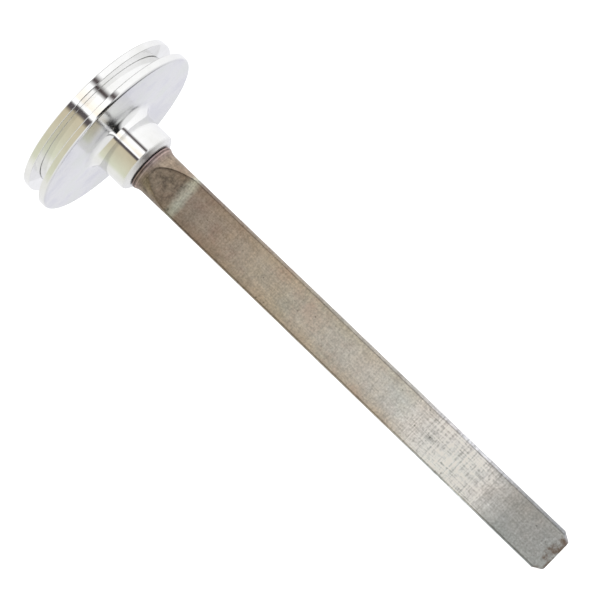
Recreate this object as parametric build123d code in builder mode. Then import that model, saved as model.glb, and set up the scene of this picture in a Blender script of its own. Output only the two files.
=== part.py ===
from build123d import *
import os
from math import cos, radians, sin, tan

# Dial thermometer with a bimetal coil in its stem. Millimetres. The axis is Z: the dial faces +Z
# and the stem points to -Z. The origin is on the axis, half way along the hub's straight length.

# Head, turned in one piece with its hub
head_radius = 26.0
flange_thickness = 2.1
flange_round = 0.9
groove_depth = 4.9
drum_wall = 1.0
floor_thickness = 1.8
chamber_depth = 5.5
lip_overhang = 2.75
lip_thickness = 0.5
hub_radius = 8.9
hub_grip = 7.2
hub_chamfer_length = 1.2
hub_chamfer_depth = 1.7
cove_radius = 3.05

# Bezel and glass
bezel_inset = 0.9
bezel_wall = 2.8
bezel_edge_height = 1.9
bezel_slope = radians(15)
bezel_front_overhang = 1.3
roll_thickness = 0.5
roll_gap = 0.15
edge_break = 0.25
crystal_thickness = 1.0
crystal_gap = 0.05
gasket_thickness = 0.2
gasket_width = 1.9

# Stem
stem_reach = 152.0
stem_radius = 6.08
flat_to_flat = 4.7
crease_depth = 23.15
ramp_bite = 0.06
collar_step = 0.62
collar_length = 0.7
collar_fillet_length = 2.3
shank_step = 1.08
thread_step = 1.0
bore_radius = 1.55
tip_chamfer_length = 2.5
tip_chamfer_depth = 1.48
plug_spigot_length = 4.0
seal_thickness = 0.3
seal_width = 1.2

# Clamp inside the head. The nut is as thick as the room under the dial allows.
washer_thickness = 0.5
washer_width = 2.9
nut_wall = 2.0
thread_stub = 0.4
under_dial_gap = 0.25

# Dial
dial_thickness = 0.4
dial_gap = 0.2
dial_hole_radius = 1.6
post_count = 2
post_radius = 1.9
post_clear = 1.7
post_blind_end = 0.95
screw_radius = 0.8
screw_hole_play = 0.1
screw_head_radius = 1.6
screw_head_height = 0.4
screw_slot_width = 0.35
screw_slot_depth = 0.2

# Pointer and its shaft
shaft_radius = 0.5
glass_gap = 0.4
pointer_lift = 0.7
pointer_thickness = 0.2
pointer_tip_gap = 2.7
pointer_tail = 6.0
pointer_root_width = 1.3
pointer_tip_width = 0.3
pointer_tail_width = 2.0
pointer_rest_angle = radians(96)
boss_radius = 2.0
boss_head = 0.45
boss_cap = 0.2
boss_spigot_radius = 0.95
boss_spigot_length = 0.3

# Shaft guides and coil
bush_length = 6.0
guide_spacing = 40.0
upper_bush_length = 3.0
upper_bush_flange = 0.4
upper_bush_flange_radius = 2.8
coil_length = 38.0
coil_pitch = 2.4
ribbon_width = 1.4
ribbon_thickness = 0.3
coil_collar_length = 3.0
coil_collar_gap = 0.25
anchor_length = 3.0
anchor_bite = 0.3

# Clearances, all radial or axial
running_clearance = 0.03
slip_clearance = 0.02
coil_clearance = 0.15
coil_end_clearance = 0.05

# Heights that follow, from the hub up to the glass
hub_top_z = hub_grip / 2
hub_end_z = -hub_grip / 2 - hub_chamfer_length
seat_z = hub_top_z + cove_radius
groove_back_z = seat_z + flange_thickness
floor_z = seat_z + floor_thickness
lip_front_z = floor_z + chamber_depth
lip_back_z = lip_front_z - lip_thickness
groove_front_z = lip_back_z - roll_thickness
gasket_top_z = lip_front_z + gasket_thickness
crystal_top_z = gasket_top_z + crystal_thickness
bezel_edge_z = groove_front_z + bezel_edge_height

# From the glass down to the nut
boss_top_z = gasket_top_z - glass_gap
pointer_top_z = boss_top_z - boss_head
pointer_z = pointer_top_z - pointer_thickness
dial_face_z = pointer_z - pointer_lift
dial_back_z = dial_face_z - dial_thickness
stem_top_z = dial_back_z - under_dial_gap - upper_bush_flange
nut_top_z = stem_top_z - thread_stub
nut_z = floor_z + washer_thickness

# From the hub down to the tip, and back up the bore
collar_top_z = hub_end_z - seal_thickness
collar_end_z = collar_top_z - collar_length
fillet_end_z = collar_end_z - collar_fillet_length
crease_z = seat_z - crease_depth
tip_z = seat_z - stem_reach
plug_z = tip_z + tip_chamfer_length
anchor_z = plug_z + plug_spigot_length
anchor_top_z = anchor_z + anchor_length
coil_top_z = anchor_top_z + coil_length
coil_collar_z = coil_top_z + coil_end_clearance
lower_bush_z = coil_collar_z + coil_collar_length + bush_length
middle_bush_z = lower_bush_z + guide_spacing

# Radii that follow
groove_radius = head_radius - groove_depth
chamber_radius = groove_radius - drum_wall
lip_radius = groove_radius + lip_overhang
bezel_radius = head_radius - bezel_inset
bezel_bore_radius = bezel_radius - bezel_wall
bezel_opening_radius = bezel_bore_radius - bezel_front_overhang
crystal_radius = bezel_bore_radius - crystal_gap
collar_radius = stem_radius + collar_step
shank_radius = stem_radius - shank_step
thread_radius = shank_radius - thread_step
nut_flat_radius = thread_radius + nut_wall
nut_corner_radius = nut_flat_radius / cos(radians(30))
post_circle = nut_corner_radius + post_clear + post_radius
dial_radius = chamber_radius - dial_gap
pointer_length = dial_radius - pointer_tip_gap
post_thread_length = dial_back_z - floor_z - post_blind_end
coil_radius = bore_radius - coil_clearance - ribbon_thickness / 2

os.makedirs("parts", exist_ok=True)


# Head: flange, grooved drum, hub and dial chamber, turned from one bar
hub_bore_radius = shank_radius + slip_clearance
with BuildPart() as case_body:
    with BuildSketch(Plane.XZ):
        with BuildLine():
            outline = Polyline(
                (hub_bore_radius, floor_z),
                (hub_bore_radius, hub_end_z),
                (hub_radius - hub_chamfer_depth, hub_end_z),
                (hub_radius, -hub_grip / 2),
                (hub_radius, hub_top_z),
            )
            cove = TangentArc(outline @ 1, (hub_radius + cove_radius, seat_z), tangent=(0, 1))
            Polyline(
                cove @ 1,
                (head_radius, seat_z),
                (head_radius, groove_back_z),
                (groove_radius, groove_back_z),
                (groove_radius, lip_back_z),
                (lip_radius, lip_back_z),
                (lip_radius, lip_front_z),
                (chamber_radius, lip_front_z),
                (chamber_radius, floor_z),
                (hub_bore_radius, floor_z),
            )
        make_face()
    revolve(axis=Axis.Z)
    rings = case_body.edges().filter_by(GeomType.CIRCLE)
    back_edge = rings.filter_by_position(Axis.Z, seat_z, seat_z).sort_by(SortBy.RADIUS)[-1]
    front_edge = rings.filter_by_position(Axis.Z, groove_back_z, groove_back_z).sort_by(SortBy.RADIUS)[-1]
    fillet(back_edge, flange_round)
    fillet(front_edge, edge_break)
    # Blind holes that the dial posts are pressed into
    with BuildSketch(Plane.XY.offset(floor_z)):
        with PolarLocations(post_circle, post_count):
            Circle(screw_radius)
    extrude(amount=-floor_thickness / 2, mode=Mode.SUBTRACT)
case_body.part.label = "case_body"
export_step(case_body.part, "parts/case_body.step")


# Front rim, rolled in behind the drum's lip, with a sloping face that holds the glass down
bezel_front_z = bezel_edge_z + (bezel_radius - bezel_opening_radius) * tan(bezel_slope)
with BuildPart() as bezel_ring:
    with BuildSketch(Plane.XZ):
        with BuildLine():
            Polyline(
                (groove_radius + roll_gap, groove_front_z),
                (bezel_radius, groove_front_z),
                (bezel_radius, bezel_edge_z),
                (bezel_opening_radius, bezel_front_z),
                (bezel_opening_radius, crystal_top_z),
                (bezel_bore_radius, crystal_top_z),
                (bezel_bore_radius, lip_front_z),
                (lip_radius, lip_front_z),
                (lip_radius, lip_back_z),
                (groove_radius + roll_gap, lip_back_z),
                close=True,
            )
        make_face()
    revolve(axis=Axis.Z)
    rim = bezel_ring.edges().filter_by(GeomType.CIRCLE)
    rim_back = rim.filter_by_position(Axis.Z, groove_front_z, groove_front_z).sort_by(SortBy.RADIUS)[-1]
    rim_front = rim.filter_by_position(Axis.Z, bezel_edge_z, bezel_edge_z).sort_by(SortBy.RADIUS)[-1]
    opening_edge = rim.filter_by_position(Axis.Z, bezel_front_z, bezel_front_z).sort_by(SortBy.RADIUS)[0]
    fillet([rim_back, rim_front, opening_edge], edge_break)
bezel_ring.part.label = "bezel_ring"
export_step(bezel_ring.part, "parts/bezel_ring.step")


# Flat glass
with BuildPart() as crystal:
    with BuildSketch(Plane.XY.offset(gasket_top_z)):
        Circle(crystal_radius)
    extrude(amount=crystal_thickness)
crystal.part.label = "crystal"
export_step(crystal.part, "parts/crystal.step")


# Flat ring between the drum's front and the glass
with BuildPart() as crystal_gasket:
    with BuildSketch(Plane.XY.offset(lip_front_z)):
        Circle(crystal_radius)
        Circle(crystal_radius - gasket_width, mode=Mode.SUBTRACT)
    extrude(amount=gasket_thickness)
crystal_gasket.part.label = "crystal_gasket"
export_step(crystal_gasket.part, "parts/crystal_gasket.step")


# Dial disc, with a hole for the shaft and one for each screw
with BuildPart() as dial_plate:
    with BuildSketch(Plane.XY.offset(dial_back_z)):
        Circle(dial_radius)
        Circle(dial_hole_radius, mode=Mode.SUBTRACT)
        with PolarLocations(post_circle, post_count):
            Circle(screw_radius + screw_hole_play, mode=Mode.SUBTRACT)
    extrude(amount=dial_thickness)
dial_plate.part.label = "dial_plate"
export_step(dial_plate.part, "parts/dial_plate.step")


# Posts that carry the dial, each with a spigot in the case floor and a tapped hole
with BuildPart() as dial_posts:
    with BuildSketch(Plane.XY.offset(floor_z)):
        with PolarLocations(post_circle, post_count):
            Circle(post_radius)
    extrude(amount=dial_back_z - floor_z)
    with BuildSketch(Plane.XY.offset(floor_z)):
        with PolarLocations(post_circle, post_count):
            Circle(screw_radius)
    extrude(amount=-floor_thickness / 2)
    with BuildSketch(Plane.XY.offset(dial_back_z)):
        with PolarLocations(post_circle, post_count):
            Circle(screw_radius)
    extrude(amount=-post_thread_length, mode=Mode.SUBTRACT)
dial_posts.part.label = "dial_posts"
export_step(dial_posts.part, "parts/dial_posts.step")


# Slotted cheese-head screws
with BuildPart() as dial_screws:
    with BuildSketch(Plane.XY.offset(dial_face_z)):
        with PolarLocations(post_circle, post_count):
            Circle(screw_head_radius)
    extrude(amount=screw_head_height)
    with BuildSketch(Plane.XY.offset(dial_face_z)):
        with PolarLocations(post_circle, post_count):
            Circle(screw_radius)
    extrude(amount=-dial_thickness - post_thread_length)
    with BuildSketch(Plane.XY.offset(dial_face_z + screw_head_height)):
        with PolarLocations(post_circle, post_count):
            Rectangle(3 * screw_head_radius, screw_slot_width, rotation=30)
    extrude(amount=-screw_slot_depth, mode=Mode.SUBTRACT)
dial_screws.part.label = "dial_screws"
export_step(dial_screws.part, "parts/dial_screws.step")


# Stem: thread, shank, collar with a concave fillet, and a round bar with two flats
with BuildPart() as stem_tube:
    with BuildSketch(Plane.XZ):
        with BuildLine():
            top = Polyline(
                (bore_radius, plug_z),
                (bore_radius, stem_top_z),
                (thread_radius, stem_top_z),
                (thread_radius, floor_z),
                (shank_radius, floor_z),
                (shank_radius, collar_top_z),
                (collar_radius, collar_top_z),
                (collar_radius, collar_end_z),
            )
            side = Line((stem_radius, plug_z), (stem_radius, fillet_end_z))
            TangentArc(side @ 1, top @ 1, tangent=(0, 1))
            Line(side @ 0, top @ 0)
        make_face()
    revolve(axis=Axis.Z)
    # Each flat is milled along the stem and ramps out to the collar above the crease
    with BuildSketch(Plane.YZ):
        with BuildLine():
            Polyline(
                (flat_to_flat / 2, tip_z),
                (flat_to_flat / 2, crease_z),
                (collar_radius - ramp_bite, collar_end_z),
                (2 * collar_radius, collar_end_z),
                (2 * collar_radius, tip_z),
                close=True,
            )
        make_face()
        mirror(about=Plane.YZ)
    extrude(amount=2 * collar_radius, both=True, mode=Mode.SUBTRACT)
stem_tube.part.label = "stem_tube"
export_step(stem_tube.part, "parts/stem_tube.step")


# Closed end of the stem: chamfered all round by turning, milled to the same flats
with BuildPart() as stem_tip_plug:
    with BuildSketch(Plane.XZ):
        with BuildLine():
            Polyline(
                (0, tip_z),
                (stem_radius - tip_chamfer_depth, tip_z),
                (stem_radius, plug_z),
                (bore_radius, plug_z),
                (bore_radius, anchor_z),
                (0, anchor_z),
                close=True,
            )
        make_face()
    revolve(axis=Axis.Z)
    with BuildSketch(Plane.XY.offset(tip_z)):
        Rectangle(4 * stem_radius, flat_to_flat)
    extrude(amount=plug_spigot_length + tip_chamfer_length, mode=Mode.INTERSECT)
stem_tip_plug.part.label = "stem_tip_plug"
export_step(stem_tip_plug.part, "parts/stem_tip_plug.step")


# Thin ring squeezed between the hub's end and the stem's collar
with BuildPart() as neck_seal:
    with BuildSketch(Plane.XY.offset(collar_top_z)):
        Circle(shank_radius + seal_width)
        Circle(shank_radius, mode=Mode.SUBTRACT)
    extrude(amount=seal_thickness)
neck_seal.part.label = "neck_seal"
export_step(neck_seal.part, "parts/neck_seal.step")


# Washer and nut that pull the stem up against the hub
with BuildPart() as lock_washer:
    with BuildSketch(Plane.XY.offset(floor_z)):
        Circle(thread_radius + washer_width)
        Circle(thread_radius + slip_clearance, mode=Mode.SUBTRACT)
    extrude(amount=washer_thickness)
lock_washer.part.label = "lock_washer"
export_step(lock_washer.part, "parts/lock_washer.step")

with BuildPart() as stem_nut:
    with BuildSketch(Plane.XY.offset(nut_z)):
        RegularPolygon(nut_flat_radius, 6, major_radius=False)
        Circle(thread_radius, mode=Mode.SUBTRACT)
    extrude(amount=nut_top_z - nut_z)
stem_nut.part.label = "stem_nut"
export_step(stem_nut.part, "parts/stem_nut.step")


# Three bushes pressed into the stem's bore, which guide the shaft
with BuildPart() as upper_bush:
    with BuildSketch(Plane.XY.offset(stem_top_z)):
        Circle(upper_bush_flange_radius)
    extrude(amount=upper_bush_flange)
    with BuildSketch(Plane.XY.offset(stem_top_z)):
        Circle(bore_radius)
    extrude(amount=-upper_bush_length)
    with BuildSketch(Plane.XY.offset(stem_top_z + upper_bush_flange)):
        Circle(shaft_radius + running_clearance)
    extrude(amount=-upper_bush_flange - upper_bush_length, mode=Mode.SUBTRACT)
upper_bush.part.label = "upper_bush"
export_step(upper_bush.part, "parts/upper_bush.step")

with BuildPart() as middle_bush:
    with BuildSketch(Plane.XY.offset(middle_bush_z)):
        Circle(bore_radius)
        Circle(shaft_radius + running_clearance, mode=Mode.SUBTRACT)
    extrude(amount=bush_length)
middle_bush.part.label = "middle_bush"
export_step(middle_bush.part, "parts/middle_bush.step")

with BuildPart() as lower_bush:
    with BuildSketch(Plane.XY.offset(lower_bush_z)):
        Circle(bore_radius)
        Circle(shaft_radius + running_clearance, mode=Mode.SUBTRACT)
    extrude(amount=bush_length)
lower_bush.part.label = "lower_bush"
export_step(lower_bush.part, "parts/lower_bush.step")


# Bimetal ribbon wound as a helix. Its lower end is set into the anchor.
with BuildPart() as bimetal_coil:
    with BuildLine():
        winding = Helix(
            pitch=coil_pitch,
            height=coil_length - ribbon_width + anchor_bite,
            radius=coil_radius,
            center=(0, 0, anchor_top_z - anchor_bite + ribbon_width / 2),
        )
    with BuildSketch(Plane(origin=winding @ 0, x_dir=(1, 0, 0), z_dir=winding % 0)):
        Rectangle(ribbon_thickness, ribbon_width)
    sweep(is_frenet=True)
bimetal_coil.part.label = "bimetal_coil"
export_step(bimetal_coil.part, "parts/bimetal_coil.step")

with BuildPart() as coil_anchor:
    with BuildSketch(Plane.XY.offset(anchor_z)):
        Circle(bore_radius)
    extrude(amount=anchor_length)
coil_anchor.part.label = "coil_anchor"
export_step(coil_anchor.part, "parts/coil_anchor.step")


# Collar on the shaft's lower end, which the coil's top end is welded to
with BuildPart() as coil_collar:
    with BuildSketch(Plane.XY.offset(coil_collar_z)):
        Circle(bore_radius - coil_collar_gap)
        Circle(shaft_radius, mode=Mode.SUBTRACT)
    extrude(amount=coil_collar_length)
coil_collar.part.label = "coil_collar"
export_step(coil_collar.part, "parts/coil_collar.step")

with BuildPart() as pointer_shaft:
    with BuildSketch(Plane.XY.offset(coil_collar_z)):
        Circle(shaft_radius)
    extrude(amount=boss_top_z - boss_cap - coil_collar_z)
pointer_shaft.part.label = "pointer_shaft"
export_step(pointer_shaft.part, "parts/pointer_shaft.step")

# Boss: a head on the pointer, a spigot through it and a blind hole for the shaft
with BuildPart() as pointer_boss:
    with BuildSketch(Plane.XY.offset(pointer_top_z)):
        Circle(boss_radius)
    extrude(amount=boss_head)
    with BuildSketch(Plane.XY.offset(pointer_top_z)):
        Circle(boss_spigot_radius)
    extrude(amount=-pointer_thickness - boss_spigot_length)
    crown = pointer_boss.edges().filter_by(GeomType.CIRCLE).sort_by(Axis.Z)[-1]
    fillet(crown, boss_cap)
    with BuildSketch(Plane.XY.offset(boss_top_z - boss_cap)):
        Circle(shaft_radius)
    extrude(amount=-boss_head - pointer_thickness - boss_spigot_length, mode=Mode.SUBTRACT)
pointer_boss.part.label = "pointer_boss"
export_step(pointer_boss.part, "parts/pointer_boss.step")

# Pointer: a tapered blade, a ring round the boss and a broader tail
blade_direction = (cos(pointer_rest_angle), sin(pointer_rest_angle), 0)
with BuildPart() as pointer:
    with BuildSketch(Plane(origin=(0, 0, pointer_z), x_dir=blade_direction)):
        with BuildLine():
            Polyline(
                (pointer_length, -pointer_tip_width / 2),
                (pointer_length, pointer_tip_width / 2),
                (0, pointer_root_width / 2),
                (-pointer_tail, pointer_tail_width / 2),
                (-pointer_tail, -pointer_tail_width / 2),
                (0, -pointer_root_width / 2),
                close=True,
            )
        make_face()
        Circle(boss_radius)
        Circle(boss_spigot_radius, mode=Mode.SUBTRACT)
    extrude(amount=pointer_thickness)
pointer.part.label = "pointer"
export_step(pointer.part, "parts/pointer.step")
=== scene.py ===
from math import cos, pi, radians, sin, tan

import bpy
import numpy as np
from mathutils import Matrix, Vector


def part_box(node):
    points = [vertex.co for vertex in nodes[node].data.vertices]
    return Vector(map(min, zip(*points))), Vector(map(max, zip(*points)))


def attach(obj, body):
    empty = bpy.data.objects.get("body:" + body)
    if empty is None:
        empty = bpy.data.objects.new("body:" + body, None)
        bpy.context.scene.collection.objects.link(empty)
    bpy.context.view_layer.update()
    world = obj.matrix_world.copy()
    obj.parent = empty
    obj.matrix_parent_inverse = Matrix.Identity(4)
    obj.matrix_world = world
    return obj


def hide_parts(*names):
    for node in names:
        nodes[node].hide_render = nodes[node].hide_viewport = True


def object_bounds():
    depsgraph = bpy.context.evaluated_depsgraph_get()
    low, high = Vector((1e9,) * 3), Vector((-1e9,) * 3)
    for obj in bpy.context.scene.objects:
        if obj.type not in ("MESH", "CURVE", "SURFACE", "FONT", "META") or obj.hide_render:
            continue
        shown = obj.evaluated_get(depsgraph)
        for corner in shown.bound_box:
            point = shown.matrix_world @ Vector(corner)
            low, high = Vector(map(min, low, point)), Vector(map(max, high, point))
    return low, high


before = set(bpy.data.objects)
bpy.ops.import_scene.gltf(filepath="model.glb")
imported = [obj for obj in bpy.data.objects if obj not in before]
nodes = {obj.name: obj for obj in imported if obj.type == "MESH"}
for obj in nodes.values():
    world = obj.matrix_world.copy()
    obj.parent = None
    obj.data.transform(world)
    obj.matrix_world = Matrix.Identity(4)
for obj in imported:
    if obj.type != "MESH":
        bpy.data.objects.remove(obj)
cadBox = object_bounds()
mm = 0.001  # the numbers below are in millimetres and degrees unless a name says otherwise


def hexColour(text):
    # sRGB hex to linear RGBA
    parts = [int(text[i:i + 2], 16) / 255 for i in (1, 3, 5)]
    return tuple(c / 12.92 if c <= 0.04045 else ((c + 0.055) / 1.055) ** 2.4 for c in parts) + (1.0,)


def addNode(tree, kind, setup=None, feeds=None):
    # one node: its properties, its ramp stops if it has any, then its inputs, linked or given a value
    node = tree.nodes.new("ShaderNode" + kind)
    setup = dict(setup or {})
    stops = setup.pop("stops", None)
    for key, value in setup.items():
        setattr(node, key, value)
    if stops:
        ramp = node.color_ramp.elements
        while len(ramp) < len(stops):
            ramp.new(1.0)
        for element, (place, shade) in zip(ramp, stops):
            element.position = place
            element.color = hexColour(shade) if isinstance(shade, str) else (shade, shade, shade, 1)
    for key, value in (feeds or {}).items():
        if isinstance(value, bpy.types.NodeSocket):
            tree.links.new(value, node.inputs[key])
        else:
            node.inputs[key].default_value = value
    return node


def newMaterial(name, **sockets):
    # a material with one Principled shader, whose constant inputs are given by name
    material = bpy.data.materials.new(name)
    material.use_nodes = True
    tree = material.node_tree
    shader = tree.nodes["Principled BSDF"]
    for key, value in sockets.items():
        shader.inputs[key.replace("_", " ")].default_value = value
    return material, tree, shader


def roundCorners(corners, steps=7, support=0.06):
    # Corners are (r, z, radius). Each becomes an arc that touches both of its sides, with one support
    # point on each side just past the arc, so that the straight stretches shade flat.
    places = np.array([c[:2] for c in corners], float)
    out = []
    for i, (_, _, radius) in enumerate(corners):
        here, back, ahead = places[i], places[i - 1], places[(i + 1) % len(corners)]
        toBack, toAhead = back - here, ahead - here
        backLength, aheadLength = np.linalg.norm(toBack), np.linalg.norm(toAhead)
        toBack, toAhead = toBack / backLength, toAhead / aheadLength
        half = 0.5 * np.arccos(np.clip(toBack @ toAhead, -1, 1))
        reach = radius / tan(half)
        middle = toBack + toAhead
        centre = here + middle / np.linalg.norm(middle) * radius / sin(half)
        first = here + toBack * reach - centre
        turn = (pi - 2 * half) * np.sign(toBack[1] * toAhead[0] - toBack[0] * toAhead[1])
        angles = np.linspace(0, turn, steps)[:, None]
        side = np.array([-first[1], first[0]])
        arc = centre + np.cos(angles) * first + np.sin(angles) * side
        out.append(here + toBack * min(reach + support, 0.5 * (reach + 0.5 * backLength)))
        out.extend(arc)
        out.append(here + toAhead * min(reach + support, 0.5 * (reach + 0.5 * aheadLength)))
    return np.array(out)


def gridPiece(name, grid, wrapRows):
    # A surface from a grid of points in millimetres. Columns wrap round. Rows wrap too, as on a ring,
    # or the first and last rows are closed with a fan to their mean point.
    rows, columns = grid.shape[:2]
    points = grid.reshape(-1, 3)
    i = np.arange(rows if wrapRows else rows - 1)[:, None]
    j = np.arange(columns)[None, :]
    nextI, nextJ = (i + 1) % rows, (j + 1) % columns
    here, ahead = i * columns, nextI * columns
    quads = np.stack([here + j, here + nextJ, ahead + nextJ, ahead + j], -1)
    faces = quads.reshape(-1, 4).tolist()
    if not wrapRows:
        points = np.vstack([points, grid[0].mean(0), grid[-1].mean(0)])
        around, after = j.ravel(), nextJ.ravel()
        last = (rows - 1) * columns
        lowFan = np.stack([after, around, np.full(columns, rows * columns)], -1)
        highFan = np.stack([last + around, last + after, np.full(columns, rows * columns + 1)], -1)
        faces += lowFan.tolist() + highFan.tolist()
    a, b, c, d = (points[quads[..., k].ravel()] for k in range(4))
    volume = (np.cross(a, b) * c).sum() + (np.cross(a, c) * d).sum()
    if volume < 0:
        faces = [face[::-1] for face in faces]
    mesh = bpy.data.meshes.new(name)
    mesh.from_pydata((points * mm).tolist(), [], faces)
    mesh.shade_smooth()
    mesh.update()
    piece = bpy.data.objects.new(name, mesh)
    bpy.context.scene.collection.objects.link(piece)
    return piece


def lathe(name, profile, segments=240, wrapRows=True):
    # every profile point (r, z) goes once round Z: x = r cos t, y = r sin t
    t = np.arange(segments) / segments * 2 * pi
    r, z = profile[:, :1], profile[:, 1:]
    grid = np.stack([r * np.cos(t), r * np.sin(t), z + 0 * t], -1)
    return gridPiece(name, grid, wrapRows)


def finishPiece(piece, material, body, slot, *replaced):
    # what every new piece is given: its material and its body, and the CAD nodes it stands for are hidden;
    # slot is not used
    piece.data.materials.append(material)
    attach(piece, body)
    if replaced:
        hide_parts(*replaced)
    return piece


def boxMm(node):
    low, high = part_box(node)
    return np.array(low) / mm, np.array(high) / mm


print("stage: frame loaded,", len(nodes), "nodes")


# The stem runs to the lower right, its tip a little towards the camera, turned a little about its own
# axis so that the edge on the upper right shows. The camera faces the height referenceZ on the axis, and
# the two steps then shift it across the stem and along it.
cameraSpec = dict(lens=126.0, sensor=36.0, distance=525.0, roll=43.84, tilt=7.4, turn=5.0,
                  referenceZ=-56.35, sideStep=1.85, forwardStep=0.2)


def cameraMatrix(spec):
    # Directions are worked out in the camera's own axes: right, up, back.
    roll, tilt, turn = (radians(spec[k]) for k in ("roll", "tilt", "turn"))
    stemWay = Vector((cos(tilt) * cos(roll), -cos(tilt) * sin(roll), sin(tilt)))
    sideWay = Vector((-sin(roll), -cos(roll), 0))
    facing = Vector((-sin(tilt) * cos(roll), sin(tilt) * sin(roll), cos(tilt)))
    frontWay = facing * cos(turn) + sideWay * sin(turn)
    zAxis, yAxis = -stemWay, -frontWay
    xAxis = yAxis.cross(zAxis)
    turnBack = Matrix((xAxis, yAxis, zAxis))
    step = Vector((0, 0, spec["distance"])) - sideWay * spec["sideStep"] - stemWay * spec["forwardStep"]
    place = Vector((0, 0, spec["referenceZ"])) + turnBack @ step
    return Matrix.Translation(place * mm) @ turnBack.to_4x4()


camera = bpy.data.objects.new("camera", bpy.data.cameras.new("camera"))
camera.data.lens = cameraSpec["lens"]
camera.data.sensor_width = cameraSpec["sensor"]
camera.data.clip_start = 10 * mm
camera.matrix_world = cameraMatrix(cameraSpec)
bpy.context.scene.collection.objects.link(camera)
bpy.context.scene.camera = camera


# The room that the metal mirrors, given by direction only: a white sheet and a narrow black card on the
# right, a cream wall behind the camera, a strip lamp beside a dark stand, and a khaki curtain on the left.
# Round the axis it goes by bearing. Past the tip and past the dial it goes by the sideways part.
room = dict(
    cameraBearing=5.0, strength=1.3, backdrop="#ffffff",
    # how far down or up a direction points where each of the other two lists takes over
    tipFrom=-0.5, tipTo=-0.62, dialFrom=0.35, dialTo=0.65,
    # bearings from the camera in degrees, plus toward +X
    around=[
        (-180, "#e0e0e4"), (-110, "#dcdcd8"),   # pale wall
        (-90, "#c8cab6"), (-20, "#beb49c"),     # khaki curtain
        (-15, "#504a4c"), (-9, "#504a4c"),      # dark stand
        (-7, "#ffffff"), (-4, "#ffffff"),       # strip lamp
        (0, "#f4ecdf"), (20, "#ffffff"),        # cream wall
        (26, "#4c4444"), (29, "#4c4444"),       # narrow black card
        (36, "#f4f4f4"), (95, "#ececec"), (180, "#e0e0e4"),   # white sheet, and round to the wall
    ],
    # sideways share, past the tip
    pastTip=[
        (-1, "#dddddd"), (-0.2, "#dddddd"),     # wall
        (-0.15, "#444444"),                     # dark stand
        (-0.1, "#ffffff"), (-0.05, "#ffffff"),  # strip lamp
        (0, "#202020"), (0.2, "#202020"),       # black card
        (0.4, "#dddddd"), (1, "#dddddd"),       # white sheet
    ],
    # past the dial: wall, a grey stretch of ceiling, wall
    pastDial=[(-1, "#e4e4e4"), (0, "#dddddd"), (0.3, "#aaaaaa"), (1, "#dddddd")],
)
world = bpy.data.worlds.new("studio")
bpy.context.scene.world = world
world.use_nodes = True
sky = world.node_tree
sky.nodes.clear()
direction = addNode(sky, "TexCoord").outputs["Generated"]
turnAway = radians(room["cameraBearing"])
forward = addNode(sky, "VectorMath", {"operation": "DOT_PRODUCT"},
                  {0: direction, 1: (sin(turnAway), -cos(turnAway), 0)}).outputs["Value"]
sideways = addNode(sky, "VectorMath", {"operation": "DOT_PRODUCT"},
                   {0: direction, 1: (cos(turnAway), sin(turnAway), 0)}).outputs["Value"]
upward = addNode(sky, "SeparateXYZ", feeds={"Vector": direction}).outputs["Z"]
bearing = addNode(sky, "Math", {"operation": "ARCTAN2"}, {0: sideways, 1: forward})
bearingShare = addNode(sky, "MapRange", {}, {"Value": bearing.outputs[0], "From Min": -pi, "From Max": pi})
sideShare = addNode(sky, "MapRange", {}, {"Value": sideways, "From Min": -1.0, "From Max": 1.0})
aroundStops = [((bearing + 180) / 360, shade) for bearing, shade in room["around"]]
tipStops, dialStops = (
    [((share + 1) / 2, shade) for share, shade in room[key]] for key in ("pastTip", "pastDial"))
around = addNode(sky, "ValToRGB", {"stops": aroundStops}, {"Fac": bearingShare.outputs[0]})
pastTip = addNode(sky, "ValToRGB", {"stops": tipStops}, {"Fac": sideShare.outputs[0]})
pastDial = addNode(sky, "ValToRGB", {"stops": dialStops}, {"Fac": sideShare.outputs[0]})
nearTip = addNode(sky, "MapRange", {"interpolation_type": "SMOOTHSTEP"},
                  {"Value": upward, "From Min": room["tipFrom"], "From Max": room["tipTo"]})
nearDial = addNode(sky, "MapRange", {"interpolation_type": "SMOOTHSTEP"},
                   {"Value": upward, "From Min": room["dialFrom"], "From Max": room["dialTo"]})
lower = addNode(sky, "Mix", {"data_type": "RGBA"},
                {"Factor": nearTip.outputs[0], "A": around.outputs[0], "B": pastTip.outputs[0]})
closed = addNode(sky, "Mix", {"data_type": "RGBA"},
                 {"Factor": nearDial.outputs[0], "A": lower.outputs["Result"], "B": pastDial.outputs[0]})
seen = addNode(sky, "LightPath").outputs["Is Camera Ray"]
shown = addNode(sky, "Mix", {"data_type": "RGBA"},
                {"Factor": seen, "A": closed.outputs["Result"], "B": hexColour(room["backdrop"])})
glow = addNode(sky, "Background", feeds={"Color": shown.outputs["Result"], "Strength": room["strength"]})
addNode(sky, "OutputWorld", feeds={"Surface": glow.outputs[0]})

# One soft box on the right
keySpec = dict(width=300, height=500, watts=1.5, place=(560, -60, -40), target=(0, 0, -60))
key = bpy.data.objects.new("softBox", bpy.data.lights.new("softBox", "AREA"))
key.data.shape = "RECTANGLE"
key.data.size, key.data.size_y = keySpec["width"] * mm, keySpec["height"] * mm
key.data.energy = keySpec["watts"]
key.location = Vector(keySpec["place"]) * mm
keyWay = Vector(keySpec["target"]) - Vector(keySpec["place"])
key.rotation_euler = keyWay.to_track_quat("-Z", "Y").to_euler()
key.visible_camera = False
key.visible_glossy = False
bpy.context.scene.collection.objects.link(key)

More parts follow.
